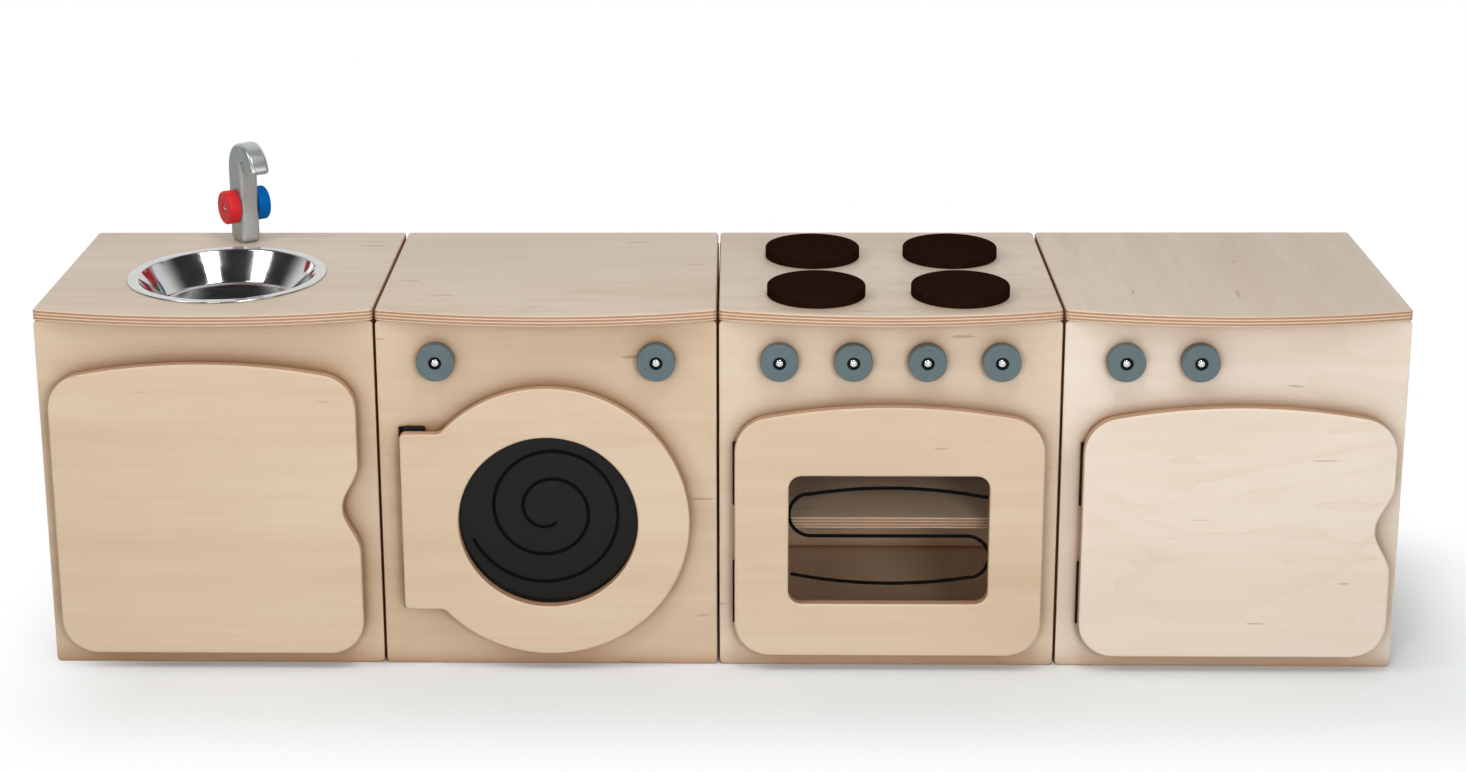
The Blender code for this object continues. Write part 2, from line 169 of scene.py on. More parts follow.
# Hinges.
HINGE_LENGTH = 0.071
HINGE_LEAF = 0.027
LEAF_THICK = 0.002
LEAF_CLEAR = 0.0038  # from a hinge's axis to the flat of its leaves
LEAF_CORNER = 0.003
AXIS_OFF = 0.0032  # from a hinge's axis to the boards its leaves lie on
BARREL = 0.0015
KNUCKLE_GAP = 0.0002
KNUCKLE_CHAMFER = 0.0003
ROOT_FROM = 0.0006  # from the axis to the strip that joins a knuckle to its leaf
ROOT_LAP = 0.003
ROOT_CORNER = 0.0005
HINGE_SCREWS = ((0.72, 0.14), (0.48, 0.5), (0.72, 0.86))  # as shares of a leaf's width and length

# Domed heads, as radius and height.
WINDOW_SCREW = (0.0028, 0.001176)
HINGE_SCREW = (0.0029, 0.0007)
KNOB_BOLT = (0.0050, 0.0042)
HANDLE_BOLT = (0.0040, 0.0030)

# The camera and the lights. A light's line holds its place, its aim, its size and its watts.
CAMERA_PLACE = (0.0197, -2.7435, 1.2066)
CAMERA_LENS = 64.38
CAMERA_SHIFT = (0.0477, -0.1228)
CAMERA_YAW = -0.0290
CAMERA_PITCH = radians(14.94)
CAMERA_ROLL = -0.0081
LIGHTS = {
    "right": ((2.1, -1.7, 1.2), (0.2, 0, 0.2), (0.8, 1.0), 8),
    "left": ((-2.1, -1.7, 1.2), (-0.2, 0, 0.2), (0.8, 1.0), 8),
    "front_right": ((0.9, -2.7, 1.1), (0.1, 0, 0.2), (0.7, 0.5), 26),
    "front_left": ((-0.8, -2.7, 1.1), (-0.1, 0, 0.2), (0.7, 0.5), 16),
    "top_right": ((0.25, -0.85, 2.3), (0.1, 0, 0.3), (0.6, 1.2), 20),
    "top_left": ((-1.75, -0.75, 2.3), (-0.3, 0, 0.3), (0.6, 1.2), 17),
}
ROOM_FRONT = 0.045  # how brightly the room in front of the kitchen lights it
ROOM_BEHIND = 0.95  # and what is added to that behind it

# The floor shows its own colour in a patch round the kitchen, and glows white beyond.
PATCH_MIDDLE = (0.06, -0.05, 0)
PATCH_SHORT = 0.06  # at each end of the kitchen's width
PATCH_FADE = (-0.02, 0.22)
FLOOR_HALF = 30
FLOOR_GAP = 0.0002

# Where each knob's dimple points, in degrees anticlockwise from the right.
POINTERS = {
    "washer_knob_1": -52, "washer_knob_2": 208,
    "cooker_knob_1": -56, "cooker_knob_2": 72, "cooker_knob_3": 92, "cooker_knob_4": 31,
    "fridge_knob_1": 221, "fridge_knob_2": 119,
}

# ---- node materials -----------------------------------------------------------------------------


class Tree:
    """Adds nodes to a node tree, linking or setting each input by its name or number."""

    def __init__(self, tree):
        self.tree = tree

    def add(self, kind, inputs=None, **settings):
        node = self.tree.nodes.new(kind)
        for name, value in settings.items():
            setattr(node, name, value)
        for name, value in (inputs or {}).items():
            self.put(node.inputs[name], value)
        return node

    def put(self, socket, value):
        if isinstance(value, bpy.types.NodeSocket):
            self.tree.links.new(value, socket)
        else:
            socket.default_value = value

    def math(self, operation, *values, clamp=False):
        inputs = dict(enumerate(values))
        return self.add("ShaderNodeMath", inputs, operation=operation, use_clamp=clamp).outputs[0]

    def vector(self, operation, *values):
        node = self.add("ShaderNodeVectorMath", dict(enumerate(values)), operation=operation)
        return node.outputs["Value" if operation == "DOT_PRODUCT" else 0]

    def scaled(self, vector, scale):
        inputs = {"Vector": vector, "Scale": scale}
        return self.add("ShaderNodeVectorMath", inputs, operation="SCALE").outputs[0]

    def noise(self, vector, scale, detail=2.0, distortion=0.0):
        inputs = {"Vector": vector, "Scale": scale, "Detail": detail, "Distortion": distortion}
        return self.add("ShaderNodeTexNoise", inputs).outputs["Fac"]

    def spread(self, value, low, high, to_low=0.0, to_high=1.0):
        inputs = {"Value": value, "From Min": low, "From Max": high,
                  "To Min": to_low, "To Max": to_high}
        node = self.add("ShaderNodeMapRange", inputs, interpolation_type="SMOOTHSTEP")
        return node.outputs["Result"]

    def mix(self, factor, first, second, blend="MIX"):
        node = self.add("ShaderNodeMix", data_type="RGBA", blend_type=blend)
        self.put(node.inputs["Factor"], factor)
        self.put(node.inputs["A"], first)
        self.put(node.inputs["B"], second)
        return node.outputs["Result"]

    def bump(self, height, strength, distance):
        inputs = {"Height": height, "Strength": strength, "Distance": distance}
        return self.add("ShaderNodeBump", inputs).outputs["Normal"]


def new_material(name):
    """A material with only its Principled shader, and the tree to add nodes to."""
    made = bpy.data.materials.new(name)
    made.use_nodes = True
    shader = made.node_tree.nodes["Principled BSDF"]
    return made, shader, Tree(made.node_tree)


def rgb(*values):
    return (*values, 1.0)


def ply_group():
    """Plywood as a solid texture: figured face veneers, and the layers wherever an edge cuts them."""
    group = bpy.data.node_groups.new("plywood", "ShaderNodeTree")
    face = group.interface
    for name, kind in (("Axis", "Vector"), ("Middle", "Float"), ("Half", "Float"),
                       ("Grain", "Vector"), ("Shift", "Vector"), ("Light", "Color"),
                       ("Dark", "Color"), ("Figure", "Float")):
        face.new_socket(name, in_out="INPUT", socket_type=f"NodeSocket{kind}")
    for name, kind in (("Color", "Color"), ("Roughness", "Float"), ("Height", "Float")):
        face.new_socket(name, in_out="OUTPUT", socket_type=f"NodeSocket{kind}")
    t = Tree(group)
    given = t.add("NodeGroupInput").outputs
    place = t.add("ShaderNodeTexCoord").outputs["Object"]

    across = t.math("SUBTRACT", t.vector("DOT_PRODUCT", place, given["Axis"]), given["Middle"])
    depth = t.math("SUBTRACT", given["Half"], t.math("ABSOLUTE", across))

    # The pattern is stretched along the grain, each part of it by its own share.
    moved = t.vector("ADD", place, given["Shift"])
    along = t.vector("DOT_PRODUCT", moved, given["Grain"])

    def stretched(share):
        """The place with this share of its run along the grain taken away."""
        return t.vector("ADD", moved, t.scaled(given["Grain"], t.math("MULTIPLY", along, -share)))

    drawn = stretched(0.74)
    tight = stretched(0.982)

    # Growth lines, where the peeled veneer darkens slowly and then starts afresh.
    warp = t.noise(drawn, 5.5, 4.0, 0.55)
    growth = t.math("FRACT", t.math("MULTIPLY", warp, 12.0))
    growth = t.math("POWER", growth, 4.5)
    growth = t.math("MULTIPLY", growth, t.spread(t.noise(drawn, 2.6, 1.0), 0.44, 0.66, 0.1, 1.0))
    cloud = t.noise(drawn, 8.0, 3.0)
    band = t.noise(tight, 60.0, 2.0)
    fibre = t.noise(tight, 900.0, 2.0)
    fleck = t.spread(t.noise(stretched(0.86), 120.0, 0.0), 0.82, 0.86)

    tone = t.math("MULTIPLY", growth, given["Figure"])
    for pattern, weight in ((cloud, 1.6), (band, 0.8), (fibre, 0.5)):
        tone = t.math("ADD", tone, t.math("MULTIPLY", t.math("SUBTRACT", pattern, 0.5), weight))
    tone = t.math("ADD", tone, 0.38, clamp=True)
    veneer = t.mix(tone, given["Light"], given["Dark"])
    veneer = t.mix(t.math("MULTIPLY", fleck, 0.5), veneer, rgb(0.28, 0.15, 0.08))

    # The layers under the veneer: long grain and end grain by turns, with dark glue between.
    ramp = t.add("ShaderNodeValToRGB", {"Fac": t.math("DIVIDE", depth, given["Half"])})
    layers = ramp.color_ramp
    layer = 2 / PLY_LAYERS
    glue_line = 0.04
    tones = (rgb(0.66, 0.50, 0.38), rgb(0.34, 0.18, 0.085))
    glue = rgb(0.20, 0.08, 0.03)
    stops = [(0.0, tones[0])]
    for number in range(1, PLY_LAYERS // 2 + 1):
        edge = number * layer
        stops += [(edge - glue_line, tones[(number + 1) % 2]), (edge, glue)]
        stops += [(edge + glue_line, tones[number % 2])]
    layers.elements[0].color = stops[0][1]
    layers.elements[1].position = stops[-1][0]
    layers.elements[1].color = stops[-1][1]
    for position, colour in stops[1:-1]:
        layers.elements.new(position).color = colour
    worn = t.mix(t.spread(fibre, 0.3, 0.7, 0.0, 0.3), ramp.outputs["Color"], rgb(0.5, 0.3, 0.16))
    buried = t.spread(depth, *VENEER)
    colour = t.mix(buried, veneer, worn)

    rough = t.spread(fibre, 0.2, 0.8, 0.46, 0.58)
    given_out = t.add("NodeGroupOutput")
    t.put(given_out.inputs["Color"], colour)
    t.put(given_out.inputs["Roughness"], rough)
    t.put(given_out.inputs["Height"], t.math("ADD", fibre, t.math("MULTIPLY", buried, -0.5)))
    return group


PLYWOOD = ply_group()
X_AXIS, Y_AXIS, Z_AXIS = (1, 0, 0), (0, 1, 0), (0, 0, 1)

# Light and dark tones of the veneers: WARM on three units and PALE on the fridge, MIDDLE on the cooker's
# front panel, a lighter tone on the cooker's other boards and shelf as painted light in the dim oven, and
# a greyer tone on the worktops as painted sheen on the tops.
WARM = (rgb(0.615, 0.476, 0.342), rgb(0.512, 0.362, 0.230))
PALE = (rgb(0.708, 0.606, 0.510), rgb(0.622, 0.510, 0.405))
# Painted light: lighter than the birch of every other unit, so that the cooker's inner boards and shelf
# show bright in the dim oven.
OVEN_PAINTED_LIGHT = (rgb(0.760, 0.590, 0.430), rgb(0.660, 0.470, 0.310))
MIDDLE = (rgb(0.655, 0.540, 0.420), rgb(0.570, 0.430, 0.310))
# Painted sheen: the worktops' birch made greyer and less orange, for the white sheen that the tops catch
# from above.
TOP_WITH_PAINTED_SHEEN = (rgb(0.585, 0.490, 0.395), rgb(0.485, 0.375, 0.270))
PAINTED_SHADE_REACH = 0.028  # how far from a neighbouring part the painted shade reaches
# The brown that the painted shade multiplies the wood towards.
PAINTED_SHADE_TINT = rgb(0.52, 0.31, 0.14)


def plywood(node, axis, grain, tones, figure=0.35, shade=1.0):
    """Plywood for the board in a node's box, thin along axis, with painted shade: darker and browner near
    other parts, as much as shade gives.
    """
    low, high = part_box(node)
    number = axis.index(1)
    made, shader, t = new_material(f"birch_{node}")
    wood = t.add("ShaderNodeGroup", node_tree=PLYWOOD)
    # The seed takes each board's veneer from its own part of the pattern.
    seed = sum(ord(letter) * (place + 3) for place, letter in enumerate(node))
    values = {"Axis": axis, "Middle": (low[number] + high[number]) / 2,
              "Half": (high[number] - low[number]) / 2, "Grain": grain,
              "Shift": (seed % 17 * 0.31, seed % 23 * 0.27, seed % 29 * 0.23),
              "Light": tones[0], "Dark": tones[1], "Figure": figure}
    for name, value in values.items():
        wood.inputs[name].default_value = value
    # Painted shade: where an Ambient Occlusion node finds parts close by, the wood is multiplied towards
    # a brown, for the shadows beside doors and in the gaps between parts.
    open_air = t.add("ShaderNodeAmbientOcclusion", {"Distance": PAINTED_SHADE_REACH}, samples=6)
    painted_shade = t.spread(open_air.outputs["AO"], 0.25, 0.95, shade, 0.0)
    shaded_wood = t.mix(1.0, wood.outputs["Color"], PAINTED_SHADE_TINT, "MULTIPLY")
    t.put(shader.inputs["Base Color"], t.mix(painted_shade, wood.outputs["Color"], shaded_wood))
    t.put(shader.inputs["Roughness"], wood.outputs["Roughness"])
    t.put(shader.inputs["Normal"], t.bump(wood.outputs["Height"], 0.12, 0.0002))
    return made


def paint(name, colour, roughness, metallic=0.0, fleck=0.06, grain=0.10, gloss=0.5):
    """Sprayed paint on sanded wood: a little orange peel and uneven cover."""
    made, shader, t = new_material(name)
    place = t.add("ShaderNodeTexCoord").outputs["Object"]
    cover = t.noise(place, 90.0, 3.0)
    peel = t.noise(place, 1400.0, 2.0)
    stretched = t.add("ShaderNodeMapping", {"Vector": place, "Scale": (120.0, 120.0, 900.0)})
    wood = t.noise(stretched.outputs[0], 1.0, 1.0)
    deep = rgb(*(c * (1 - fleck * 2) for c in colour))
    pale = rgb(*(min(1, c * (1 + fleck) + fleck * 0.02) for c in colour))
    t.put(shader.inputs["Base Color"], t.mix(cover, deep, pale))
    t.put(shader.inputs["Roughness"], t.spread(peel, 0.2, 0.8, roughness - 0.05, roughness + 0.07))
    height = t.math("ADD", peel, t.math("MULTIPLY", wood, 0.8))
    t.put(shader.inputs["Normal"], t.bump(height, grain, 0.0002))
    shader.inputs["Metallic"].default_value = metallic
    shader.inputs["Specular IOR Level"].default_value = gloss
    return made


def metal(name, colour, roughness, scale=500.0, strength=0.03):
    made, shader, t = new_material(name)
    place = t.add("ShaderNodeTexCoord").outputs["Object"]
    scuff = t.noise(place, scale, 3.0)
    t.put(shader.inputs["Base Color"], t.mix(scuff, rgb(*(c * 0.92 for c in colour)), rgb(*colour)))
    t.put(shader.inputs["Roughness"], t.spread(scuff, 0.3, 0.7, roughness * 0.8, roughness * 1.3))
    t.put(shader.inputs["Normal"], t.bump(scuff, strength, 0.0001))
    shader.inputs["Metallic"].default_value = 1.0
    return made


def spun_steel(name, centre):
    """Polished steel with the faint rings that spinning leaves about its centre."""
    made, shader, t = new_material(name)
    place = t.add("ShaderNodeTexCoord").outputs["Object"]
    level = t.vector("MULTIPLY", t.vector("SUBTRACT", place, centre), (1, 1, 0))
    radius = t.add("ShaderNodeVectorMath", {0: level}, operation="LENGTH").outputs["Value"]
    lines = t.add("ShaderNodeTexNoise", {"W": radius, "Scale": 2600.0, "Detail": 2.0},
                  noise_dimensions="1D").outputs["Fac"]
    smear = t.noise(place, 40.0, 3.0)
    t.put(shader.inputs["Base Color"], t.mix(smear, rgb(0.50, 0.51, 0.50), rgb(0.60, 0.61, 0.60)))
    t.put(shader.inputs["Roughness"], t.spread(smear, 0.3, 0.7, 0.07, 0.14))
    t.put(shader.inputs["Normal"], t.bump(lines, 0.04, 0.0001))
    shader.inputs["Metallic"].default_value = 1.0
    return made


def acrylic(name, colour, alpha):
    made, shader, t = new_material(name)
    place = t.add("ShaderNodeTexCoord").outputs["Object"]
    haze = t.noise(place, 30.0, 3.0)
    t.put(shader.inputs["Base Color"], t.mix(haze, rgb(*(c * 0.8 for c in colour)), rgb(*colour)))
    t.put(shader.inputs["Roughness"], t.spread(haze, 0.3, 0.7, 0.03, 0.07))
    shader.inputs["Alpha"].default_value = alpha
    shader.inputs["Specular IOR Level"].default_value = 0.2
    return made


# ---- outlines, as lists of 2-D points running anticlockwise -------------------------------------


def arc(cx, cy, radius, start, end, steps):
    turns = [radians(start + (end - start) * i / steps) for i in range(steps + 1)]
    return [(cx + radius * cos(a), cy + radius * sin(a)) for a in turns]


def circle(cx, cy, radius, steps=96):
    return arc(cx, cy, radius, 0, 360, steps)[:-1]


def rounded_box(left, low, right, high, radius, steps=8):
    corners = ((right - radius, high - radius, 0), (left + radius, high - radius, 90),
               (left + radius, low + radius, 180), (right - radius, low + radius, 270))
    return [p for cx, cy, start in corners for p in arc(cx, cy, radius, start, start + 90, steps)]


def notch(edge, middle, steps=24):
    points = []
    for i in range(1, 2 * steps):
        along = -1 + i / steps
        depth = NOTCH_DEPTH * (1 + cos(pi * along)) / 2
        points.append((edge - depth, middle + along * NOTCH_HALF))
    return points


def arched(left, right, low, peak, rise, shoulder, foot, notch_at=None, steps=16):
    """A panel with rounded feet and a shallow arch on top that runs smoothly into its shoulders."""
    middle = (left + right) / 2
    half = (right - left) / 2
    arch = (half**2 + rise**2) / (2 * rise)
    arch_y = peak - arch
    reach = half - shoulder
    shoulder_y = arch_y + sqrt((arch - shoulder) ** 2 - reach**2)
    meet = degrees(atan2(shoulder_y - arch_y, reach))
    points = arc(left + foot, low + foot, foot, 180, 270, steps)
    points += arc(right - foot, low + foot, foot, 270, 360, steps)
    if notch_at is not None:
        points += notch(right, notch_at)
    points += arc(right - shoulder, shoulder_y, shoulder, 0, meet, steps)
    points += arc(middle, arch_y, arch, meet, 180 - meet, 3 * steps)[1:-1]
    points += arc(left + shoulder, shoulder_y, shoulder, 180 - meet, 180, steps)
    return points


def porthole(left, middle, centre_z, radius):
    """The washing machine's door: a disc with a straight hinge tab on its left."""
    low, high = centre_z - TAB_HALF, centre_z + TAB_HALF
    rise = TAB_HALF + TAB_FILLET
    across = -sqrt((radius + TAB_FILLET) ** 2 - rise**2)
    meet = degrees(atan2(rise, across))
    corner = left + TAB_CORNER
    points = arc(middle, centre_z, radius, -meet, meet, 110)
    points += arc(middle + across, high + TAB_FILLET, TAB_FILLET, meet - 180, -90, 8)
    points += arc(corner, high - TAB_CORNER, TAB_CORNER, 90, 180, 8)
    points += arc(corner, low + TAB_CORNER, TAB_CORNER, 180, 270, 8)
    points += arc(middle + across, low - TAB_FILLET, TAB_FILLET, 90, 180 - meet, 8)
    return points


def hook():
    """The spout's side view: a stem from the worktop up, bent over forwards into a blunt tip."""
    stem_back = -STEM / 2
    centre = stem_back + HOOK_RADIUS
    tip_z = TIP_HEIGHT + TIP_CORNER
    reach = sqrt((HOOK_RADIUS - TIP_CORNER) ** 2 - (tip_z - HOOK_CENTRE) ** 2)
    tip = degrees(atan2(tip_z - HOOK_CENTRE, reach))
    inner = STEM / 2 + 2 * HOOK_INNER + TIP_CORNER
    points = arc(STEM / 2 - TAP_FOOT, TAP_FOOT, TAP_FOOT, 270, 360, 8)
    points += arc(STEM / 2 + HOOK_INNER, tip_z, HOOK_INNER, 180, 0, 12)
    points += arc(inner, tip_z, TIP_CORNER, 180, 270, 8)[1:]
    points += arc(centre + reach, tip_z, TIP_CORNER, 270, 360 + tip, 8)
    points += arc(centre, HOOK_CENTRE, HOOK_RADIUS, tip, 180, 48)[1:]
    points += arc(stem_back + TAP_FOOT, TAP_FOOT, TAP_FOOT, 180, 270, 8)
    return points


def turned_over(points):
    return [(x, -y) for x, y in reversed(points)]


def shifted(points, dx, dy):
    return [(x + dx, y + dy) for x, y in points]


def spiral(steps=220):
    """The line on the washing machine's window, from its middle out."""
    radius, start = SPIRAL_START
    points = []
    for i in range(steps + 1):
        turn = SPIRAL_TURN * i / steps
        reach = radius + SPIRAL_PITCH * abs(turn) / 360
        points.append((reach * cos(radians(start + turn)), reach * sin(radians(start + turn))))
    return points


def heating_line():
    """The line on the oven's window: an S of two shallow arches and a straight, as a heater runs."""
    edge = degrees(asin(S_REACH / S_ARCH))
    lean = degrees(asin((S_REACH - S_BEND * 0.68) / S_ARCH))
    bend_x = -(S_ARCH - S_BEND) * sin(radians(lean))
    upper = arc(0, S_PEAK - S_ARCH, S_ARCH, 90 - edge, 90 + lean, 40)
    upper += arc(bend_x, S_BEND, S_BEND, 90 + lean, 270, 24)[1:]
    lower = [(-x, -y) for x, y in reversed(upper)]
    return upper + lower


def ribbon(path, width):
    """The outline of a line of this width along a path, with round ends."""
    sides = ([], [])
    for i, here in enumerate(path):
        ahead = Vector(path[min(i + 1, len(path) - 1)]) - Vector(path[max(i - 1, 0)])
        side = Vector((-ahead.y, ahead.x)).normalized() * width / 2
        sides[0].append(tuple(Vector(here) + side))
        sides[1].append(tuple(Vector(here) - side))
    return sides[1] + round_end(path[-1], sides[1][-1]) + sides[0][::-1] + round_end(path[0], sides[0][0])


def round_end(centre, first, steps=6):
    """Points of a half turn anticlockwise about centre from first, without its two ends."""
    out = Vector(first) - Vector(centre)
    start = degrees(atan2(out.y, out.x))
    return arc(*centre, out.length, start, start + 180, steps)[1:-1]


# ---- solids -------------------------------------------------------------------------------------


def inset(points, distance):
    """Each corner moved to the left of the way the outline runs, which is into the material."""
    moved = []
    for i, here in enumerate(points):
        before = Vector(here) - Vector(points[i - 1])
        after = Vector(points[(i + 1) % len(points)]) - Vector(here)
        first = Vector((-before.y, before.x)).normalized()
        second = Vector((-after.y, after.x)).normalized()
        moved.append(Vector(here) + (first + second) * distance / (1 + first.dot(second)))
    return moved


def edge_profile(thick, round_top, round_bottom, steps):
    """(inset, height) pairs down a plate's edge, from its top face to its bottom face."""
    pairs = []
    for size, sign, face in ((round_top, 1, thick), (round_bottom, -1, 0)):
        if size:
            turns = [pi / 2 * i / steps for i in range(steps + 1)]
            bend = [(size * (1 - cos(a)), face - sign * size * (1 - sin(a))) for a in turns]
            pairs += bend[::-1] if sign > 0 else bend
        else:
            pairs.append((0, face))
    return pairs


def cap(shape, loops):
    """Fills the flat face between an outline and its holes, which are all convex."""
    corners = [(vert, number) for number, loop in enumerate(loops) for vert in loop]
    places = [vert.co.xy for vert, _ in corners]
    first, edges = 0, []
    for loop in loops:
        count = len(loop)
        edges += [(first + i, first + (i + 1) % count) for i in range(count)]
        first += count
    _, _, faces, sources, _, _ = delaunay_2d_cdt(places, edges, [], 1, 1e-8)
    for face in faces:
        chosen = [corners[sources[i][0]] for i in face]
        owners = {number for _, number in chosen}
        # A face whose corners all belong to one hole would only fill that hole.
        if owners == {0} or len(owners) > 1:
            shape.faces.new([vert for vert, _ in chosen])


def plate(outline, thick, holes=(), round_top=0.0, round_bottom=0.0, steps=5):
    """A flat board from z = 0 to thick, its edges and its holes' edges rounded over alike."""
    shape = bmesh.new()
    profile = edge_profile(thick, round_top, round_bottom, steps)
    top_loops, bottom_loops = [], []
    for loop in [outline] + [list(reversed(hole)) for hole in holes]:
        rings = []
        for size, height in profile:
            rings.append([shape.verts.new((p[0], p[1], height)) for p in inset(loop, size)])
        count = len(loop)
        for upper, lower in zip(rings, rings[1:]):
            for i in range(count):
                j = (i + 1) % count
                shape.faces.new((upper[i], lower[i], lower[j], upper[j]))
        top_loops.append(rings[0])
        bottom_loops.append(rings[-1])
    cap(shape, top_loops)
    cap(shape, bottom_loops)
    bmesh.ops.recalc_face_normals(shape, faces=shape.faces)
    return finished(shape)


def turned(profile, steps=96):
    """A solid turned about local Z from (radius, height) pairs that start and end on the axis."""
    shape = bmesh.new()
    rings = []
    for radius, height in profile:
        if radius:
            turns = [2 * pi * i / steps for i in range(steps)]
            rings.append([shape.verts.new((radius * cos(a), radius * sin(a), height)) for a in turns])
        else:
            rings.append([shape.verts.new((0, 0, height))] * steps)
    for lower, upper in zip(rings, rings[1:]):
        for i in range(steps):
            j = (i + 1) % steps
            shape.faces.new(dict.fromkeys((lower[i], lower[j], upper[j], upper[i])))
    bmesh.ops.recalc_face_normals(shape, faces=shape.faces)
    return finished(shape)


def finished(shape):
    mesh = bpy.data.meshes.new("piece")
    shape.to_mesh(mesh)
    shape.free()
    mesh.shade_smooth()
    mesh.set_sharp_from_angle(angle=SHARP_ANGLE)
    return mesh


def joined(meshes):
    """One mesh that holds them all."""
    shape = bmesh.new()
    for mesh in meshes:
        shape.from_mesh(mesh)
    return finished(shape)


def placed(mesh, *steps):
    """The mesh moved by each matrix in turn."""
    for step in steps:
        mesh.transform(step)
    return mesh


def piece(name, mesh, material, body, replaced=()):
    """A named object that moves with a body and stands in for the nodes replaced by it."""
    made = bpy.data.objects.new(name, mesh)
    mesh.name = name
    mesh.materials.clear()
    mesh.materials.append(material)
    bpy.context.collection.objects.link(made)
    weighted = made.modifiers.new("flat_faces", "WEIGHTED_NORMAL")
    weighted.keep_sharp = True
    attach(made, body)
    if replaced:
        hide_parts(*replaced)
    return made


def cut(made, cutter):
    """Takes a cutter's mesh out of a piece, ahead of its other modifier."""
    tool = bpy.data.objects.new("cutter", cutter)
    bpy.context.collection.objects.link(tool)
    step = made.modifiers.new("cut", "BOOLEAN")
    step.object = tool
    made.modifiers.move(len(made.modifiers) - 1, 0)
    bpy.context.view_layer.update()
    seen = made.evaluated_get(bpy.context.evaluated_depsgraph_get())
    mesh = bpy.data.meshes.new_from_object(seen)
    bpy.data.objects.remove(tool)
    made.modifiers.remove(step)
    made.data = mesh


def dome(radius, height, steps, around):
    """A domed head that stands on z = 0."""
    turns = [pi / 2 * i / steps for i in range(steps)]
    profile = [(0, 0)] + [(radius * cos(a), height * sin(a)) for a in turns] + [(0, height)]
    return turned(profile, around)


def screw_head(size):
    return dome(*size, 5, 24)


def bolt_head(size):
    return dome(*size, 10, 40)


# ---- places -------------------------------------------------------------------------------------


FACING = Matrix.Rotation(pi / 2, 4, "X")  # turns local +Z to face -Y
INWARD = Matrix.Rotation(-pi / 2, 4, "X")  # turns local +Z to face +Y
SIDEWAYS = Matrix(((0, 0, 1, 0), (1, 0, 0, 0), (0, 1, 0, 0), (0, 0, 0, 1)))  # local XYZ to YZX


def at(x, y, z):
    return Matrix.Translation((x, y, z))


def centre_of(node):
    low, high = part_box(node)
    return (Vector(low) + Vector(high)) / 2


def opening(name):
    boxes = {item["name"]: item["box_m"] for item in frame["record"]["physics"]["openings"]}
    return boxes[name]


def joint_place(name):
    joints = {joint["name"]: joint for joint in frame["record"]["behaviour"]["joints"]}
    return Vector(joints[name]["pos_m"])


def pane_radius():
    low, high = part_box("washer_window")
    return (high[0] - low[0]) / 2


# ---- boards -------------------------------------------------------------------------------------


def tones_of(unit):
    return PALE if unit == "fridge" else WARM


def board(node, axis, grain, tones):
    """A plain board with eased edges in a node's box, thin along axis."""
    low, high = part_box(node)
    number = axis.index(1)
    first, second = ((1, 2), (0, 2), (0, 1))[number]
    outline = rounded_box(low[first], low[second], high[first], high[second], 2 * EASED, 3)
    mesh = plate(outline, high[number] - low[number], (), EASED, EASED, 3)
    if number == 0:
        placed(mesh, SIDEWAYS, at(low[0], 0, 0))
    elif number == 1:
        placed(mesh, FACING, at(0, high[1], 0))
    else:
        placed(mesh, at(0, 0, low[2]))
    piece(f"{node}_board", mesh, plywood(node, axis, grain, tones), "carcass", [node])


def front_panel(unit):
    node = f"{unit}_front_panel"
    low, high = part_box(node)
    outline = rounded_box(low[0] + SLIT, low[2], high[0] - SLIT, high[2], FOOT_CORNER)
    if unit == "washer":
        middle = centre_of("washer_window")
        hole = circle(middle.x, middle.z, DOORWAY_RADIUS)
    else:
        first, last = opening(f"{unit}_doorway")
        hole = rounded_box(first[0] - DOORWAY_SPARE, first[2] - DOORWAY_SPARE,
                           last[0] + DOORWAY_SPARE, last[2] + DOORWAY_SPARE, DOORWAY_CORNER)
    mesh = plate(outline, high[1] - low[1], [hole], FRONT_ROUND, FRONT_BACK_ROUND)
    placed(mesh, FACING, at(0, high[1], 0))
    wood = plywood(node, Y_AXIS, X_AXIS, MIDDLE if unit == "cooker" else tones_of(unit))
    piece(f"{unit}_front_board", mesh, wood, "carcass", [node])


def carcass(unit):
    front_panel(unit)
    boards = {"back": (Y_AXIS, X_AXIS), "bottom": (Z_AXIS, X_AXIS),
              "side_left": (X_AXIS, Y_AXIS), "side_right": (X_AXIS, Y_AXIS)}
    for name, (axis, grain) in boards.items():
        board(f"{unit}_{name}", axis, grain, OVEN_PAINTED_LIGHT if unit == "cooker" else tones_of(unit))


def worktop(unit):
    node = f"{unit}_worktop"
    low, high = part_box(node)
    outline = turned_over(arched(low[0] + SLIT, high[0] - SLIT, -high[1], -low[1],
                                 BOW_RISE, BOW_CORNER, BACK_CORNER))
    holes = []
    if unit == "sink":
        middle = centre_of("sink_bowl")
        holes.append(circle(middle.x, middle.y, BOWL_HOLE))
    mesh = plate(outline, high[2] - low[2], holes, WORKTOP_ROUND, WORKTOP_UNDER_ROUND)
    placed(mesh, at(0, 0, low[2]))
    grain = Y_AXIS if unit == "fridge" else X_AXIS
    # The worktops take the greyer tone, which is painted sheen, and only a fifth of the painted shade
    # near parts.
    wood = plywood(node, Z_AXIS, grain, TOP_WITH_PAINTED_SHEEN, shade=0.2)
    piece(f"{unit}_worktop_slab", mesh, wood, "carcass", [node])


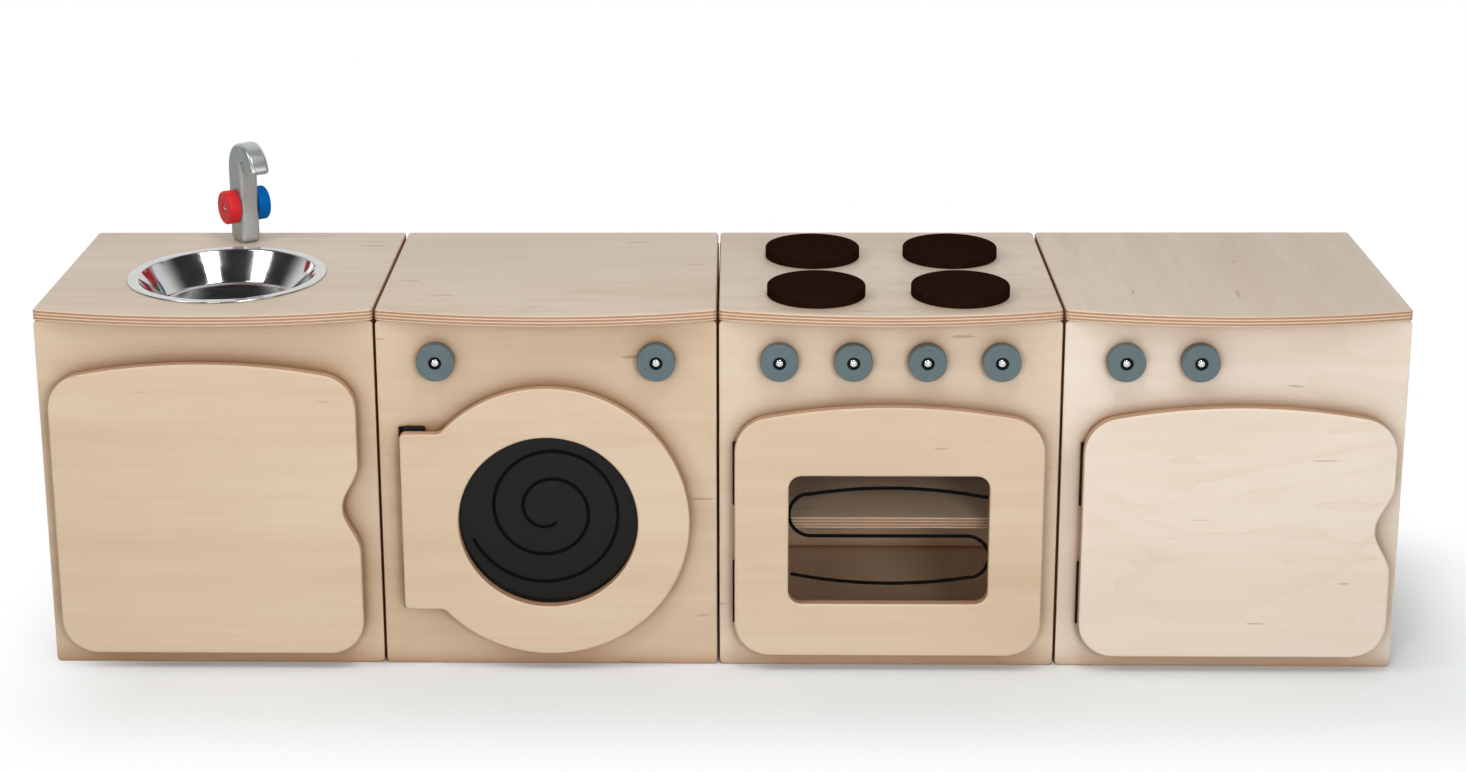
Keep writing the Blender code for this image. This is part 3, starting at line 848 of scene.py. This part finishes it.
def door(unit):
    node = f"{unit}_door"
    low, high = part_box(node)
    holes = []
    if unit == "washer":
        radius = (high[2] - low[2]) / 2
        middle, centre_z = high[0] - radius, (low[2] + high[2]) / 2
        outline = porthole(low[0], middle, centre_z, radius)
        holes.append(circle(middle, centre_z, pane_radius() - PANE_LAP))
    else:
        notch_at = None
        if unit == "cooker":
            first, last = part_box("cooker_window")
            holes.append(rounded_box(first[0] + PANE_LAP, first[2] + PANE_LAP,
                                     last[0] - PANE_LAP, last[2] - PANE_LAP, OVEN_CORNER))
        else:
            first, last = opening(f"{unit}_door_notch")
            notch_at = (first[2] + last[2]) / 2
        outline = arched(low[0], high[0], low[2], high[2], DOOR_RISE, DOOR_CORNER, DOOR_FOOT, notch_at)
    mesh = plate(outline, high[1] - low[1], holes, DOOR_ROUND, DOOR_BACK_ROUND)
    placed(mesh, FACING, at(0, high[1], 0))
    wood = plywood(node, Y_AXIS, X_AXIS, tones_of(unit), figure=0.38)
    piece(f"{unit}_door_panel", mesh, wood, f"door_{unit}", [node])


# ---- windows ------------------------------------------------------------------------------------


def window(unit, material, line):
    """A pane behind a door, the line on it, and the screws that hold it from inside."""
    node = f"{unit}_window"
    low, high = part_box(node)
    middle = centre_of(node)
    thick = high[1] - low[1]
    if unit == "washer":
        outline = circle(middle.x, middle.z, pane_radius())
        reach = pane_radius() - ROUND_SCREW_IN
        turns = [radians(45 + 60 * i) for i in range(6)]
        spots = [(middle.x + reach * cos(a), middle.z + reach * sin(a)) for a in turns]
    else:
        outline = rounded_box(low[0], low[2], high[0], high[2], OVEN_CORNER + PANE_LAP)
        edge = OVEN_SCREW_IN
        spots = [(x, z) for x in (low[0] + 3 * edge, middle.x, high[0] - 3 * edge)
                 for z in (low[2] + edge, high[2] - edge)]
    mesh = placed(plate(outline, thick, (), CRISP, CRISP, 2), FACING, at(0, high[1], 0))
    body = f"door_{unit}"
    piece(f"{unit}_window_pane", mesh, material, body, [node])
    drawn = plate(ribbon(line, LINE_WIDTH), LINE_THICK)
    placed(drawn, FACING, at(middle.x, low[1] + LINE_GAP, middle.z))
    piece(f"{unit}_window_line", drawn, LINE_BLACK, body)
    heads = [placed(screw_head(WINDOW_SCREW), INWARD, at(x, high[1], z)) for x, z in spots]
    piece(f"{unit}_window_screws", joined(heads), BLACK_STEEL, body)


# ---- hinges -------------------------------------------------------------------------------------


def knuckle(low, high):
    edge = KNUCKLE_CHAMFER
    profile = [(0, low), (BARREL - edge, low), (BARREL, low + edge), (BARREL, high - edge),
               (BARREL - edge, high), (0, high)]
    return turned(profile, 32)


def leaf(name, axis, low, knuckles, side, body, replaced):
    """A hinge leaf with its knuckles: side +1 lies on the front panel, -1 on the door's back."""
    third = HINGE_LENGTH / 3
    near = AXIS_OFF if side > 0 else -AXIS_OFF + LEAF_THICK
    outline = rounded_box(LEAF_CLEAR, low, HINGE_LEAF, low + HINGE_LENGTH, LEAF_CORNER, 5)
    parts = [placed(plate(outline, LEAF_THICK, (), CRISP, CRISP, 2), FACING, at(0, near, 0))]
    short = 2 * KNUCKLE_GAP
    for number in knuckles:
        start, end = low + number * third + KNUCKLE_GAP, low + (number + 1) * third - KNUCKLE_GAP
        parts.append(knuckle(start, end))
        root = rounded_box(ROOT_FROM, start + short, LEAF_CLEAR + ROOT_LAP, end - short, ROOT_CORNER, 2)
        strip = plate(root, LEAF_THICK - KNUCKLE_GAP)
        parts.append(placed(strip, FACING, at(0, near - KNUCKLE_GAP / 2, 0)))
    mesh = placed(joined(parts), at(axis.x, axis.y, 0))
    piece(name, mesh, BLACK_STEEL, body, replaced)

    # The screws are on the side that doesn't lie on the board.
    face = near - LEAF_THICK if side > 0 else near
    turn = FACING if side > 0 else INWARD
    spots = [at(axis.x + HINGE_LEAF * x, axis.y + face, low + HINGE_LENGTH * z)
             for x, z in HINGE_SCREWS]
    heads = [placed(screw_head(HINGE_SCREW), turn, spot) for spot in spots]
    piece(f"{name}_screws", joined(heads), BLACK_STEEL, body)


def hinges(unit):
    axis = joint_place(f"{unit}_door_hinge")
    for level in ("lower", "upper"):
        node = f"{unit}_hinge_{level}_frame_leaf"
        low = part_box(node)[0][2]
        leaf(f"{unit}_{level}_frame_leaf", axis, low, (0, 2), 1, "carcass", [node])
        moving = [f"{unit}_hinge_upper_door_leaf"] if level == "upper" else []
        leaf(f"{unit}_{level}_door_leaf", axis, low, (1,), -1, f"door_{unit}", moving)


# ---- round pieces -------------------------------------------------------------------------------


def disc_profile(radius, thick, edge, bore=0.0, deep=0.0, steps=6):
    """A disc with a rounded face edge and, if bore is given, a counterbore in its face."""
    profile = [(0, 0), (radius - DISC_CHAMFER, 0), (radius, DISC_CHAMFER)]
    profile += arc(radius - edge, thick - edge, edge, 0, 90, steps)
    if bore:
        lip = 0.0004
        profile += [(bore + lip, thick), (bore, thick - lip), (bore, thick - deep), (0, thick - deep)]
    else:
        profile.append((0, thick))
    return profile


def knob(node, body, turn):
    """A painted disc with a dimple drilled at turn degrees, a black cup in its counterbore as painted
    shade, and a bolt.
    """
    low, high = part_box(node)
    radius, thick = (high[0] - low[0]) / 2, high[1] - low[1]
    middle = centre_of(node)
    stand = at(middle.x, high[1], middle.z)
    disc = turned(disc_profile(radius, thick, KNOB_EDGE, KNOB_BORE, KNOB_BORE_DEEP))
    made = piece(f"{node}_disc", placed(disc, FACING, stand), GREY_PAINT, body, [node])

    wide, deep = DIMPLE
    across, up = DIMPLE_AT * cos(radians(turn)), DIMPLE_AT * sin(radians(turn))
    drill = turned([(0, 0), (wide, deep), (wide, DRILL_LONG), (0, DRILL_LONG)], 24)
    cut(made, placed(drill, at(across, up, thick - deep), FACING, stand))

    # Painted shade: the black cup lines the counterbore so that the recess round the bolt shows dark.
    floor_of_bore = at(middle.x, low[1] + KNOB_BORE_DEEP, middle.z)
    outside = KNOB_BORE - SHADE_CUP_GAP
    inside = outside - SHADE_CUP_WALL
    shade_cup = turned([(0, 0), (outside, 0), (outside, SHADE_CUP_HIGH),
                  (inside, SHADE_CUP_HIGH), (inside, SHADE_CUP_FLOOR), (0, SHADE_CUP_FLOOR)], 48)
    piece(f"{node}_cup", placed(shade_cup, FACING, floor_of_bore), BLACK_STEEL, body)
    head = placed(bolt_head(KNOB_BOLT), FACING, floor_of_bore)
    piece(f"{node}_bolt", head, CHROME, body)


def hob_ring(number):
    node = f"hob_ring_{number}"
    low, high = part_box(node)
    middle = centre_of(node)
    profile = disc_profile((high[0] - low[0]) / 2, high[2] - low[2], RING_EDGE)
    mesh = placed(turned(profile), at(middle.x, middle.y, low[2]))
    piece(f"{node}_disc", mesh, HOB_PAINT, "carcass", [node])


def bowl():
    """A spun bowl: flat floor, straight sloping wall, flat lip with its edge rolled under."""
    low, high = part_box("sink_bowl")
    middle = centre_of("sink_bowl")
    rim = (high[0] - low[0]) / 2
    depth = high[2] - low[2] - LIP_TOP
    crown = FLOOR_CROWN - depth
    inner = [(0, crown), (CROWN_RADIUS, crown - CROWN_FALL)]
    inner += arc(FLOOR_RADIUS, FLOOR_BEND - depth, FLOOR_BEND, 270, 270 + WALL_SLOPE, 6)
    inner += arc(MOUTH_RADIUS, LIP_TOP - MOUTH_BEND, MOUTH_BEND, 90 + WALL_SLOPE, 90, 6)
    roll = (high[2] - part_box("sink_worktop")[1][2] - LIP_GAP) / 2
    edge = arc(rim - roll, LIP_TOP - roll, roll, 90, -60, 8)
    outer = [(x - SKIN_IN, z - SKIN_DOWN) for x, z in reversed(inner)]
    underside = (LIP_UNDERSIDE_FROM, LIP_TOP - SKIN_DOWN)
    profile = inner + edge + [underside] + outer[1:-1] + [(0, crown - SKIN_DOWN)]
    mesh = placed(turned(profile, 160), at(middle.x, middle.y, high[2] - LIP_TOP))
    piece("sink_bowl_spun", mesh, spun_steel("polished_steel", middle), "bowl", ["sink_bowl"])


def tap():
    foot = joint_place("tap_swivel")
    stand = Matrix.Translation(foot) @ Matrix.Rotation(TAP_TURN, 4, "Z")
    spout = plate(hook(), TAP_THICK, (), TAP_ROUND, TAP_ROUND, 6)
    placed(spout, FACING, at(0, TAP_THICK / 2, 0), stand)
    piece("tap_hook", spout, SILVER_PAINT, "tap", ["tap_spout"])
    low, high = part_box("hot_handle")
    radius = (high[2] - low[2]) / 2
    height = (high[2] + low[2]) / 2 - foot.z
    sides = {"hot": (RED_PAINT, "red_paint", FACING, -1), "cold": (BLUE_PAINT, "blue_paint", INWARD, 1)}
    for name, (material, slot, turn, side) in sides.items():
        out = at(0, side * (TAP_THICK / 2 + HANDLE_GAP), height)
        disc = turned(disc_profile(radius, HANDLE_THICK, HANDLE_EDGE, HANDLE_BORE, HANDLE_BORE_DEEP))
        placed(disc, turn, out, stand)
        piece(f"{name}_handle_disc", disc, material, f"{name}_tap", [f"{name}_handle"])
        sunk = at(0, 0, HANDLE_THICK - HANDLE_BORE_DEEP)
        head = placed(bolt_head(HANDLE_BOLT), sunk, turn, out, stand)
        piece(f"{name}_handle_bolt", head, CHROME, f"{name}_tap")


# ---- studio -------------------------------------------------------------------------------------


def camera():
    data = bpy.data.cameras.new("camera")
    data.sensor_width = 36.0
    data.lens = CAMERA_LENS
    data.shift_x, data.shift_y = CAMERA_SHIFT
    made = bpy.data.objects.new("camera", data)
    yaw, pitch, roll = CAMERA_YAW, CAMERA_PITCH, CAMERA_ROLL
    ahead = Vector((sin(yaw) * cos(pitch), cos(yaw) * cos(pitch), -sin(pitch)))
    level = Vector((cos(yaw), -sin(yaw), 0))
    up = level.cross(ahead)
    right = level * cos(roll) + up * sin(roll)
    up = up * cos(roll) - level * sin(roll)
    turn = Matrix((right, up, -ahead)).transposed().to_4x4()
    made.matrix_world = at(*CAMERA_PLACE) @ turn
    bpy.context.collection.objects.link(made)
    bpy.context.scene.camera = made


def floor():
    """A pale floor that brightens into the white surround a little way off the kitchen."""
    shape = bmesh.new()
    bmesh.ops.create_grid(shape, x_segments=1, y_segments=1, size=FLOOR_HALF)
    made = bpy.data.objects.new("floor", finished(shape))
    made.location.z = -FLOOR_GAP
    bpy.context.collection.objects.link(made)
    material, shader, t = new_material("studio_floor")
    place = t.add("ShaderNodeTexCoord").outputs["Object"]
    low, high = CAD_BOX
    half = ((high[0] - low[0]) / 2 - PATCH_SHORT, (high[1] - low[1]) / 2, 1.0)
    beyond = t.vector("ABSOLUTE", t.vector("SUBTRACT", place, PATCH_MIDDLE))
    beyond = t.vector("SUBTRACT", beyond, half)
    beyond = t.vector("MAXIMUM", beyond, (0, 0, 0))
    away = t.add("ShaderNodeVectorMath", {0: beyond}, operation="LENGTH").outputs["Value"]
    seen = t.add("ShaderNodeLightPath").outputs["Is Camera Ray"]
    glow = t.math("MULTIPLY", t.spread(away, *PATCH_FADE), seen)
    shader.inputs["Base Color"].default_value = rgb(0.80, 0.83, 0.84)
    shader.inputs["Roughness"].default_value = 0.7
    shine = t.add("ShaderNodeEmission", {"Color": rgb(1, 1, 1), "Strength": 1.0})
    both = t.add("ShaderNodeMixShader", {0: glow, 1: shader.outputs[0], 2: shine.outputs[0]})
    t.put(material.node_tree.nodes["Material Output"].inputs["Surface"], both.outputs[0])
    made.data.materials.append(material)


def area_light(name, place, aim, size, power):
    data = bpy.data.lights.new(name, "AREA")
    data.shape = "RECTANGLE"
    data.size, data.size_y = size
    data.energy = power
    made = bpy.data.objects.new(name, data)
    made.location = place
    made.rotation_euler = (Vector(place) - Vector(aim)).to_track_quat("Z", "Y").to_euler()
    bpy.context.collection.objects.link(made)


def studio():
    """A room that is white to the camera, but as light is dim in front, where the lamps are."""
    world = bpy.data.worlds.new("studio")
    world.use_nodes = True
    t = Tree(world.node_tree)
    seen = t.add("ShaderNodeLightPath").outputs["Is Camera Ray"]
    way = t.add("ShaderNodeTexCoord").outputs["Generated"]
    behind = t.spread(t.vector("DOT_PRODUCT", way, (0, 1, 0)), 0.1, 0.6, 0.0, ROOM_BEHIND)
    glow = t.math("ADD", behind, ROOM_FRONT)
    background = world.node_tree.nodes["Background"]
    background.inputs["Color"].default_value = rgb(1, 1, 1)
    t.put(background.inputs["Strength"], t.math("MAXIMUM", glow, seen))
    bpy.context.scene.world = world
    for name, values in LIGHTS.items():
        area_light(name, *values)
    bpy.context.scene.view_settings.view_transform = "Standard"


# ---- the whole kitchen --------------------------------------------------------------------------

GREY_PAINT = paint("grey_blue_paint", (0.098, 0.134, 0.144), 0.42, gloss=0.3)
HOB_PAINT = paint("hob_brown_paint", (0.0150, 0.0058, 0.0030), 0.7, fleck=0.1, gloss=0.0)
SILVER_PAINT = paint("silver_paint_on_wood", (0.46, 0.485, 0.48), 0.30, metallic=0.75)
RED_PAINT = paint("red_paint_on_wood", (0.66, 0.018, 0.024), 0.35, gloss=0.2)
BLUE_PAINT = paint("blue_paint_on_wood", (0.0005, 0.115, 0.40), 0.5, gloss=0.02)
CHROME = metal("chrome_bolt", (0.78, 0.78, 0.77), 0.09)
BLACK_STEEL = metal("black_steel", (0.020, 0.020, 0.022), 0.42, 900.0, 0.1)
LINE_BLACK = paint("line_black", (0.001, 0.001, 0.001), 0.6, gloss=0.05)
WASHER_ACRYLIC = acrylic("dark_grey_acrylic", (0.006, 0.006, 0.005), 0.97)
OVEN_ACRYLIC = acrylic("smoke_brown_acrylic", (0.020, 0.012, 0.008), 0.045)

camera()
floor()
studio()
for unit_name in UNITS:
    carcass(unit_name)
    worktop(unit_name)
    door(unit_name)
    hinges(unit_name)
board("oven_shelf", Z_AXIS, X_AXIS, OVEN_PAINTED_LIGHT)
window("washer", WASHER_ACRYLIC, shifted(spiral(), 0, SPIRAL_LIFT))
window("cooker", OVEN_ACRYLIC, shifted(heating_line(), S_SHIFT, S_SHIFT))
for knob_node, pointer in POINTERS.items():
    unit_name, number = knob_node.split("_knob_")
    knob(knob_node, f"knob_{unit_name}_{number}", pointer)
for ring in range(1, 5):
    hob_ring(ring)
bowl()
tap()
